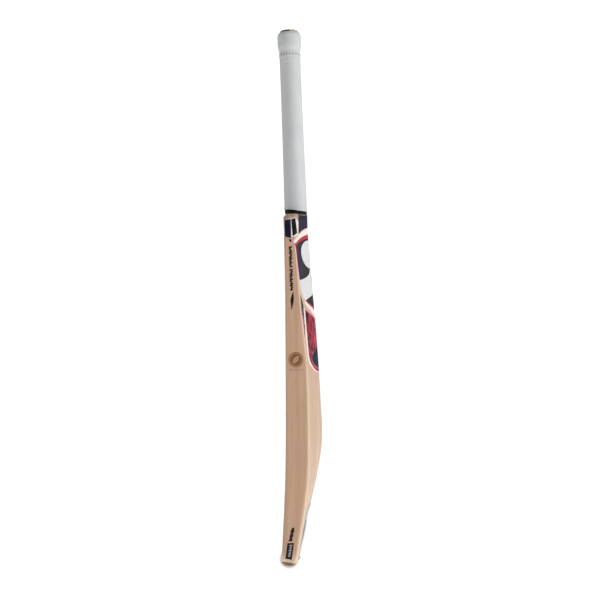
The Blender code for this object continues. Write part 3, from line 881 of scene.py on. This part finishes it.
def grip_swell(angle, height):
    """The slight unevenness of rubber that has been rolled on: broad flats and a wavy hem and top band."""
    flats = 0.00007 * math.sin(5 * angle + 9 * height) + 0.00005 * math.sin(3 * angle - 25 * height)
    hem = 0.00018 * math.sin(4 * angle + 1.0) * math.exp(-(((height - HEM_HEIGHT) / 0.002) ** 2))
    band = 0.00012 * math.sin(3 * angle + 0.6) * math.exp(-(((height - 0.281) / 0.010) ** 2))
    return flats + hem + band


def grip_slant(angle, height):
    """The hem hangs lower at the back of the bat than at its face."""
    wave = HEM_SLANT * math.sin(angle) + 0.00025 * math.sin(5 * angle + 0.4)
    return -wave * math.exp(-(((height - HEM_HEIGHT) / 0.012) ** 2))


def smooth_profile(points, steps):
    """More points along the straight lines through a profile: each short line cut into steps, long ones
    about every 6 mm.
    """
    table = np.array(points)
    profile = [tuple(table[0])]
    for start, end in zip(table, table[1:]):
        count = steps if end[0] - start[0] < 0.01 else max(int((end[0] - start[0]) / 0.006), 1)
        profile += [tuple(start + (end - start) * i / count) for i in range(1, count + 1)]
    return profile


def make_grip(finishes):
    """The rubber grip, with a ring of raised lozenges below its top band."""
    outside = [(radius, height) for height, radius in smooth_profile(GRIP_OUTSIDE, 2)]
    low, high = GRIP_OUTSIDE[0][0], GRIP_OUTSIDE[-1][0]
    rings = turned_rings(outside, 120, grip_swell, grip_slant)
    bore = [(grip_bore(h), h) for h in (high - 0.0006, STEM_TAPER_END, 0.100, 0.013)]
    mouth = WHIPPING_RADIUS + 0.0002
    rings += turned_rings(bore + [(mouth, 0.0108), (mouth, low + 0.0002)], 120, lift=grip_slant)
    mesh_data = loft(rings, closed=True)
    for i in range(LOZENGE_COUNT):
        lozenge(mesh_data, 2 * math.pi * i / LOZENGE_COUNT)
    materials = [finishes["grip"], finishes["raised"]]
    make_piece("moulded_grip", mesh_data, materials, ["grip"], 50)


def lozenge(mesh_data, angle):
    """A small raised diamond with a flat top, on the grip's skin."""
    rings = []
    for reach, lift in ((1.0, -0.0004), (1.0, 0.00005), (0.62, 0.00030)):
        ring = []
        radius = LOZENGE_RADIUS + lift
        for across, up in ((1, 0), (0, 1), (-1, 0), (0, -1)):
            turn = angle + across * reach * LOZENGE_HALF_WIDTH / LOZENGE_RADIUS
            height = LOZENGE_HEIGHT + up * reach * LOZENGE_HALF_HEIGHT
            ring.append(about_handle(radius, turn, height))
        rings.append(ring)
    loft(rings, mesh_data=mesh_data, slot=1)


# ------------ printed labels: how they lie on the blade

# Undersides and tops of a label's layers, measured off the blade's skin
LAYERS = (
    (-0.00004, 0.00010), (0.00008, 0.00015), (0.00013, 0.00020), (0.00018, 0.00025), (0.00023, 0.00030),
)

# Cells that a flat outline is cut into, so that it can bend: their width and height
CELL = (0.00125, 0.004)
FINE_CELL = (0.0008, 0.0014)
WIDE_CELL = (0.0025, 0.004)
FLAT_CELL = (0.004, 0.004)


@functools.lru_cache(maxsize=None)
def skin(height):
    """The section's skin from the spine out round the edge: distances along it, x and y."""
    points = half_section(height)[::-1]
    steps = np.hypot(*np.diff(points, axis=0).T)
    return np.concatenate(([0.0], np.cumsum(steps))), points[:, 0], points[:, 1]


def at_x(x, height):
    """(distance from the spine, height) of the point of the back at x."""
    distances, xs, _ = skin(height)
    end = int(np.argmax(xs)) + 1
    return math.copysign(np.interp(abs(x), xs[:end], distances[:end]), x), height


def at_y(y, height):
    """(distance from the spine, height) of the point of the back or the edge at y, on the +X side."""
    distances, _, ys = skin(height)
    return float(np.interp(-y, -ys, distances)), height


def skin_place(distance, height):
    distances, xs, ys = skin(height)
    x = np.interp(abs(distance), distances, xs)
    y = np.interp(abs(distance), distances, ys)
    return np.array((math.copysign(x, distance), y, section_height(height, y)))


def skin_frame(distance, height):
    """A point of the skin, and the outward normal there."""
    reach = 0.0004
    across = skin_place(distance + reach, height) - skin_place(distance - reach, height)
    up = skin_place(distance, height + reach) - skin_place(distance, height - reach)
    normal = np.cross(up, across)
    return skin_place(distance, height), normal / np.linalg.norm(normal)


def face_frame(x, height):
    return np.array((x, face_y(x, height), height)), np.array((0.0, -1.0, 0.0))


def plate(mesh_data, loops, layer, slot, frame_at=skin_frame, cell=CELL):
    """Adds one layer of a label: a flat outline, with any holes, cut into cells and laid on the blade."""
    flat = bmesh.new()
    for loop in loops:
        corners = [flat.verts.new((a, height, 0)) for a, height in loop]
        for first, second in zip(corners, corners[1:] + corners[:1]):
            flat.edges.new((first, second))
    bmesh.ops.triangle_fill(flat, use_beauty=True, use_dissolve=False, edges=flat.edges[:])
    for axis in (0, 1):
        places = [v.co[axis] for v in flat.verts]
        first = math.ceil(min(places) / cell[axis])
        for i in range(first, math.floor(max(places) / cell[axis]) + 1):
            point, normal = Vector(), Vector()
            point[axis], normal[axis] = i * cell[axis], 1
            parts = flat.verts[:] + flat.edges[:] + flat.faces[:]
            bmesh.ops.bisect_plane(flat, geom=parts, dist=1e-6, plane_co=point, plane_no=normal)
    bmesh.ops.remove_doubles(flat, verts=flat.verts[:], dist=1e-5)
    flat.verts.index_update()
    low, high = LAYERS[layer]
    under, over = [], []
    for vert in flat.verts:
        point, normal = frame_at(vert.co.x, vert.co.y)
        under.append(mesh_data.verts.new(point + normal * low))
        over.append(mesh_data.verts.new(point + normal * high))
    made = []
    for face in flat.faces:
        indices = [v.index for v in face.verts]
        made.append(mesh_data.faces.new([over[i] for i in indices]))
        made.append(mesh_data.faces.new([under[i] for i in reversed(indices)]))
    for edge in flat.edges:
        if len(edge.link_faces) == 1:
            i, j = (v.index for v in edge.verts)
            made.append(mesh_data.faces.new((under[i], under[j], over[j], over[i])))
    for face in made:
        face.material_index = slot
    flat.free()


def curve(points, steps=6):
    """A smooth run through the points, both ends included."""
    table = np.array(points, float)
    padded = np.vstack((2 * table[0] - table[1], table, 2 * table[-1] - table[-2]))
    run = []
    for a, b, c, d in zip(padded, padded[1:], padded[2:], padded[3:]):
        for t in np.arange(steps) / steps:
            bend = (2 * a - 5 * b + 4 * c - d) * t**2 + (3 * b - a - 3 * c + d) * t**3
            run.append(0.5 * (2 * b + (c - a) * t + bend))
    return [tuple(point) for point in run] + [tuple(table[-1])]


def straight(points, step=0.002):
    """The points of a run of straight lines, close enough to bend with the blade."""
    run = [points[0]]
    for start, end in zip(points, points[1:]):
        count = max(math.ceil(math.dist(start, end) / step), 1)
        for i in range(1, count + 1):
            run.append(tuple(s + (e - s) * i / count for s, e in zip(start, end)))
    return run


def polygon(*points):
    """A closed outline with straight sides."""
    return straight([*points, points[0]])[:-1]


def bar(start, width, height, slant, tall, flare=0.0):
    """A bar whose far end is higher by slant and taller by flare. height is that of its near top corner."""
    end = start + width
    far = height + slant
    return polygon((start, height), (end, far), (end, far - tall - flare), (start, height - tall))


def sliver(first, last, out, back, steps=6):
    """A closed outline from one sharp tip to the other through the points out, and home through back."""
    return curve([first, *out, last], steps) + curve([last, *back, first], steps)[1:-1]


def both_sides(half):
    """A closed outline from its +X half, which runs from the spine back to the spine."""
    return half + [(-a, height) for a, height in reversed(half[1:-1])]


def oval(centre, across, up, down=None, count=48):
    """A closed round outline, which may be taller below its centre than above."""
    down = up if down is None else down
    outline = []
    for i in range(count):
        c, s = math.cos(2 * math.pi * i / count), math.sin(2 * math.pi * i / count)
        outline.append((centre[0] + across * c, centre[1] + (up if s > 0 else down) * s))
    return outline


def leaf(centre, length, width, lean, count=12):
    """A pointed leaf: two equal arcs that meet at its ends."""
    c, s = math.cos(lean), math.sin(lean)
    outline = []
    for side in (1, -1):
        for i in range(count):
            share = i / count
            along = (0.5 - share) * side * length
            off = side * width / 2 * math.sin(math.pi * share)
            outline.append((centre[0] + along * c - off * s, centre[1] + along * s + off * c))
    return outline


def on_back(outline):
    """An outline drawn in (x, height) on the back."""
    return [at_x(x, height) for x, height in outline]


def on_edge(outline):
    """An outline drawn in (y, height) on the +X edge."""
    return [at_y(y, height) for y, height in outline]


# ------------ printed labels: the artwork


class Label:
    """A label in the making: outlines laid on the blade, each in one of the label's inks."""

    def __init__(self, finishes, *tints, side=1):
        self.mesh_data = bmesh.new()
        self.tints = tints
        self.materials = [finishes[tint] for tint in tints]
        self.side = side

    def lay(self, tint, layer, *loops, **laid):
        """Adds an outline, with any holes, drawn in (distance from the spine, height)."""
        plate(self.mesh_data, loops, layer, self.tints.index(tint), **laid)

    def lay_half(self, tint, layer, half, *holes):
        """Adds a symmetrical outline, given by its +X half."""
        self.lay(tint, layer, both_sides(half), *holes)

    def lay_edge(self, tint, layer, *outlines, **laid):
        """Adds an outline, with any holes, drawn in (y, height) on the edge that the label is for."""
        placed = [[(self.side * a, height) for a, height in on_edge(outline)] for outline in outlines]
        self.lay(tint, layer, *placed, **laid)

    def finish(self, name, slot, *nodes):
        make_piece(name, self.mesh_data, self.materials, nodes)


def make_shoulder_label(finishes):
    """The dark label under the handle's foot, with an arched lower edge."""
    label = Label(finishes, "navy", "dusk")
    for layer, (tint, inset, top) in enumerate((("navy", 0.0, 0.5592), ("dusk", 0.0022, 0.5572))):
        heights = np.linspace(0.5257 + inset, top, 14)
        side = [(0.71 * half_width(height) - inset, height) for height in heights]
        reach = side[0][0]
        arch = [(reach * i / 14, 0.5382 + inset - 0.0125 * (i / 14) ** 1.6) for i in range(14)]
        crown = straight([side[-1], (0.0, top)])
        label.lay_half(tint, layer, on_back(arch + side + crown[1:]))
    label.finish("print_back_shoulder", "navy_label", "back_shoulder_label")


# The shield's +X half: its arched top in (x, height), and its side in (y, height) down to where the V starts
SHIELD_TOP = ((0.0, 0.5278), (0.0170, 0.5242), (0.0370, 0.5175))
SHIELD_SIDE = (
    (-0.0088, 0.5095), (-0.0067, 0.5026), (-0.0046, 0.4837), (-0.0025, 0.4670), (-0.0007, 0.4520),
    (0.0002, 0.4420), (0.0039, 0.4277), (0.0083, 0.4195),
)
SHIELD_CORNER = SHIELD_TOP[-1][0]
SHIELD_TIP = 0.4030
PANEL_SIDE = ((-0.0012, 0.5105), (0.0003, 0.4950), (0.0020, 0.4800), (0.0032, 0.4680), (0.0028, 0.4550))
CHEVRON_TOP = ((0.0, 0.4715), (0.0060, 0.4700), (0.0115, 0.4620), (0.0250, 0.4558))
CHEVRON_INSET = 0.0006


def shield_half(drop, inset, rise):
    """Half the shield's outline, with its top lowered, its side moved in and its V raised."""
    top = on_back([(x, height - drop * (1 - 0.28 * x / SHIELD_CORNER)) for x, height in SHIELD_TOP])
    side = [(a - inset, height) for a, height in on_edge(SHIELD_SIDE)]
    corner = (side[0][0], side[0][1] - 0.5 * drop)
    lower = [corner] + [point for point in side[1:] if point[1] < corner[1] - 0.002]
    end = lower[-1]
    v_line = straight([(end[0], end[1] + rise * 0.4), (0.0, SHIELD_TIP + rise)])
    return curve(top + [corner])[:-1] + curve(lower)[:-1] + v_line


def make_shield_label(finishes):
    """The main label: a red-edged dark shield on cream, with a ball above a broad chevron."""
    label = Label(finishes, "red", "dusk", "charcoal", "white", "cream")
    label.lay_half("cream", 0, shield_half(-0.0100, -0.0010, -0.0112))
    label.lay_half("red", 1, shield_half(0.0, 0.0, 0.0))
    label.lay_half("dusk", 2, shield_half(0.0068, 0.0023, 0.0044))
    top = on_back([(x, height - 0.0072 - 0.0015 * (x / SHIELD_CORNER)) for x, height in SHIELD_TOP])
    side = on_edge(PANEL_SIDE)
    tip = straight([side[-1], at_x(0.0262, 0.4215), (0.0, 0.4085)])
    label.lay_half("charcoal", 3, curve(top[:-1] + side)[:-1] + tip)

    ball = on_back(oval((0.0, 0.4970), 0.0328, 0.0205, 0.0262))
    seam = on_back(oval((0.0, 0.4950), 0.0036, 0.0082))
    label.lay("white", 4, ball, seam)
    side = [(a - CHEVRON_INSET, height) for a, height in on_edge(SHIELD_SIDE)]
    start = (side[4][0], 0.4518)
    top = curve(on_back(CHEVRON_TOP) + [start])
    outer = curve([start] + side[5:])
    under = straight([outer[-1], (0.0, 0.4304)])
    notch = on_back(oval((0.0, 0.4560), 0.0042, 0.0080))
    label.lay_half("white", 4, top[:-1] + outer[:-1] + under, notch)
    label.finish("print_back_shield", "shield_label", "back_shield_label")


# The lower panel's +X half in (x, height): its side, its rounded bottom, and a dark patch in its corner
LOWER_SIDE = ((0.0362, 0.4062), (0.0366, 0.3900), (0.0374, 0.3720), (0.0382, 0.3500), (0.0385, 0.3330))
LOWER_ARC = ((0.0385, 0.3330), (0.0352, 0.3240), (0.0262, 0.3145), (0.0140, 0.3068), (0.0, 0.3036))
LOWER_CORNER = ((0.0345, 0.4024), (0.0240, 0.3982), (0.0300, 0.3900), (0.0347, 0.3830))
LOWER_NOTCH = 0.3902


def lower_half(inset, across=0.0):
    """Half the lower panel's outline, moved in all round, and then out at the side."""
    side = [(x - inset + across, height) for x, height in LOWER_SIDE]
    side[0] = (side[0][0], side[0][1] - 1.6 * inset)
    arc = [(x * (1 + (across - inset) / LOWER_ARC[0][0]), height + inset) for x, height in LOWER_ARC]
    top = straight([(0.0, LOWER_NOTCH - 1.2 * inset), side[0]])
    return on_back(top[:-1] + curve(side[:-1] + arc[:1])[:-1] + curve(arc))


def make_lower_label(finishes):
    """The panel below the shield: brushed red in a red edge, with a dark pointed leaf at the bottom."""
    label = Label(finishes, "red", "brush", "navy", "pink", "cream")
    label.lay_half("cream", 0, lower_half(-0.0012, 0.0048))
    label.lay_half("red", 1, lower_half(0.0))
    label.lay_half("brush", 2, lower_half(0.0015))
    for side in (1, -1):
        label.lay("navy", 3, on_back(polygon(*[(side * x, height) for x, height in LOWER_CORNER])))
    for tint, layer, grow in (("pink", 3, 0.0009), ("navy", 4, 0.0)):
        half = curve([
            (0.0, 0.3480 + 2 * grow), (0.0110 + grow, 0.3410), (0.0240 + grow, 0.3325),
            (0.0270 + grow, 0.3262), (0.0190 + grow, 0.3165 - grow), (0.0, 0.3083 - grow),
        ])
        label.lay_half(tint, layer, on_back(half))
    label.finish("print_back_lower", "crimson_label", "back_lower_label")


def make_toe_label(finishes):
    """The arched label above the toe: silver with a violet edge and a dark crescent down each side."""
    label = Label(finishes, "violet", "silver", "dusk")
    for layer, (tint, inset) in enumerate((("violet", 0.0), ("silver", 0.0020))):
        width = 0.0305 - 2.2 * inset
        low = 0.0050 + inset
        bend = (0.985 * width, 0.0300)
        half = curve([
            (0.0, 0.0915 - inset), (0.54 * width, 0.0895 - inset), (0.86 * width, 0.0845 - inset),
            (0.98 * width, 0.0735), (width, 0.0500), bend,
        ])
        half += curve([bend, (0.96 * width, 0.0150), (0.88 * width, low)])[1:]
        half += straight([half[-1], (0.0, low)])[1:]
        label.lay_half(tint, layer, on_back(half))
    tips = (0.0170, 0.0800), (0.0165, 0.0280)
    crescent = sliver(*tips, [(0.0245, 0.0640), (0.0240, 0.0440)], [(0.0196, 0.0440), (0.0198, 0.0640)], 8)
    for side in (1, -1):
        label.lay("dusk", 2, on_back([(side * x, height) for x, height in crescent]))
    label.finish("print_back_toe", "silver_label", "back_toe_label")


def make_stripe(finishes, side, word):
    """The slim stripe that runs down the back beside its edge: dark, with a two-coloured front half."""
    label = Label(finishes, "black", "violet", "pink", side=side)
    inner = curve([(0.0082, 0.3625), (0.0084, 0.3830), (0.0066, 0.3970), (0.0053, 0.4124), (0.0012, 0.4280)])
    outer = curve([(0.0006, 0.4288), (0.0018, 0.4124), (0.0034, 0.3970), (0.0053, 0.3829), (0.0080, 0.3620)])
    label.lay_edge("black", 0, inner + outer)
    middle = [((a + b) / 2, height) for (a, height), (b, _) in zip(reversed(inner), outer)]
    split = len(middle) // 2
    for tint, rows in (("violet", slice(0, split + 1)), ("pink", slice(split, -2))):
        label.lay_edge(tint, 1, outer[rows] + middle[rows][::-1])
    label.finish(f"print_back_stripe_{word}", "violet_label", f"back_stripe_{word}")


# Patches on the shoulder's edge: ink, layer and corners in (y, height)
EDGE_PATCHES = (
    ("cream", 0, (
        (-0.0241, 0.5488), (-0.0080, 0.5522), (-0.0022, 0.5460),
        (-0.0030, 0.5236), (-0.0112, 0.5194), (-0.0138, 0.5200),
    )),
    ("navy", 2, ((-0.0241, 0.5480), (-0.0145, 0.5490), (-0.0138, 0.5182), (-0.0232, 0.5206))),
    ("black", 2, ((-0.0136, 0.5483), (-0.0073, 0.5508), (-0.0042, 0.5262), (-0.0112, 0.5208))),
    ("grey", 1, ((-0.0188, 0.5192), (-0.0139, 0.5178), (-0.0139, 0.5170), (-0.0188, 0.5182))),
    ("black", 1, ((-0.0176, 0.5166), (-0.0134, 0.5160), (-0.0130, 0.5116), (-0.0158, 0.5126))),
)


def make_edge_shoulder_label(finishes, side, word):
    """Two dark blocks on cream, on the edge of the shoulder, over a thin line and a small block."""
    label = Label(finishes, "navy", "black", "grey", "cream", side=side)
    for tint, layer, corners in EDGE_PATCHES:
        label.lay_edge(tint, layer, polygon(*corners), cell=FINE_CELL)
    label.finish(f"print_edge_shoulder_{word}", "black_label", f"edge_shoulder_label_{word}")


# Column of bars down the edge: its top, how far it leans to the back as it goes down, and its bars
COLUMN_TOP = 0.5045
COLUMN_LEAN = 0.030
BAR_COUNT = 22
BAR_PITCH = 0.0031
BAR_REACH = 0.0052
BAR_SHARES = (1.0, 0.62, 0.86, 1.0, 0.55, 0.9, 1.0, 0.7)
BACKBONES = ((0.0006, 0.0330), (0.0365, 0.0695))
BACKBONE_HALF = 0.0008


def column_y(height):
    return -0.0150 + COLUMN_LEAN * (COLUMN_TOP - height)


def make_edge_strip_label(finishes, side, word):
    """A column of slanting bars down the edge, in two groups with a backbone each, over a long point."""
    label = Label(finishes, "navy", "black", side=side)
    height = COLUMN_TOP
    for i in range(BAR_COUNT):
        width = BAR_REACH * BAR_SHARES[i % len(BAR_SHARES)]
        middle = column_y(height)
        start = middle - BAR_REACH / 2 if i % 2 else middle + BAR_REACH / 2 - width
        label.lay_edge("navy", 0, bar(start, width, height, 0.0014, 0.0025), cell=WIDE_CELL)
        height -= 1.5 * BAR_PITCH if i == BAR_COUNT // 2 - 1 else BAR_PITCH
    for start, end in BACKBONES:
        high, low = COLUMN_TOP - start, COLUMN_TOP - end
        top_y, low_y = column_y(high), column_y(low)
        backbone = polygon(
            (top_y - BACKBONE_HALF, high), (top_y + BACKBONE_HALF, high),
            (low_y + BACKBONE_HALF, low), (low_y - BACKBONE_HALF, low),
        )
        label.lay_edge("black", 1, backbone)
    tips = (-0.0103, 0.4350), (-0.0129, 0.4040)
    point = sliver(*tips, [(-0.0095, 0.4223), (-0.0110, 0.4120)], [(-0.0140, 0.4130), (-0.0145, 0.4220)])
    label.lay_edge("black", 0, point)
    label.finish(f"print_edge_strip_{word}", "navy_label", f"edge_strip_label_{word}")


def make_edge_toe_label(finishes, side, word):
    """A leaning black box with light dashes in it, and a column of dark dashes above."""
    label = Label(finishes, "black", "grey", side=side)
    box = polygon((-0.0194, 0.0378), (-0.0094, 0.0378), (-0.0128, 0.0092), (-0.0230, 0.0096))
    label.lay_edge("black", 0, box)
    for i in range(8):
        middle = -0.0140 - 0.0033 * i / 8
        width = 0.0032 if i % 3 else 0.0044
        label.lay_edge("grey", 1, bar(middle - width / 2, width, 0.0348 - 0.0027 * i, 0.0003, 0.0016))
    for i in range(9):
        middle = -0.0108 - 0.0040 * i / 8
        width = 0.0040 + 0.0011 * (i % 3)
        height = 0.0616 - 0.0024 * i
        label.lay_edge("black", 0, bar(middle - width / 2, width, height, 0.0005, 0.0022, 0.0001))
    label.finish(f"print_edge_toe_{word}", "black_label", f"edge_toe_label_{word}")


def make_edge_roundel(finishes, side, word):
    """A plain roundel with a leaf in it, browned into the edge, over a row of dots."""
    label = Label(finishes, "burnt", side=side)
    centre = (-0.0062, 0.3266)
    lean = math.radians(52)
    label.lay_edge("burnt", 0, oval(centre, 0.0116, 0.0122), oval(centre, 0.0103, 0.0109))
    label.lay_edge("burnt", 0, oval(centre, 0.0094, 0.0100), leaf(centre, 0.0160, 0.0062, lean))
    label.lay_edge("burnt", 0, leaf(centre, 0.0136, 0.0011, lean))
    for i in range(13):
        label.lay_edge("burnt", 0, oval((-0.0164 + 0.0017 * i, 0.3106), 0.00065, 0.0006, count=10))
    label.finish(f"engraved_roundel_{word}", "willow")


def make_face_label(finishes):
    """The sticker on the striking face: a red-edged dark panel with a ball over three bars."""
    label = Label(finishes, "red", "navy", "white", "brush")
    flat = {"frame_at": face_frame, "cell": FLAT_CELL}
    middle = 0.482
    for layer, (tint, inset) in enumerate((("red", 0.0), ("navy", 0.0016))):
        outline = []
        for i in range(64):
            angle = 2 * math.pi * i / 64
            c, s = math.cos(angle), math.sin(angle)
            x = (0.030 - inset) * math.copysign(abs(c) ** 0.62, c)
            outline.append((x, middle + (0.0475 - inset) * math.copysign(abs(s) ** 0.8, s)))
        label.lay(tint, layer, outline, **flat)
    centre = (0, middle + 0.0150)
    label.lay("white", 2, oval(centre, 0.0165, 0.0165), oval(centre, 0.0030, 0.0100), **flat)
    for i in range(3):
        top, half = middle - 0.0090 - 0.0085 * i, 0.0200 - 0.0030 * i
        low, low_half = top - 0.0050, half - 0.0022
        outline = polygon((-half, top), (half, top), (low_half, low), (-low_half, low))
        label.lay("white" if i % 2 else "brush", 2, outline, **flat)
    label.finish("print_face", "crimson_label", "face_label")


def make_labels(finishes):
    make_shoulder_label(finishes)
    make_shield_label(finishes)
    make_lower_label(finishes)
    make_toe_label(finishes)
    make_face_label(finishes)
    for side, word in ((1, "right"), (-1, "left")):
        make_stripe(finishes, side, word)
        make_edge_shoulder_label(finishes, side, word)
        make_edge_strip_label(finishes, side, word)
        make_edge_toe_label(finishes, side, word)
        make_edge_roundel(finishes, side, word)


# ------------ the whole bat


make_studio()
FINISHES = make_finishes()
make_blade(FINISHES)
make_cane_and_springs(FINISHES)
make_twine(FINISHES)
make_whipping(FINISHES)
make_grip(FINISHES)
make_labels(FINISHES)
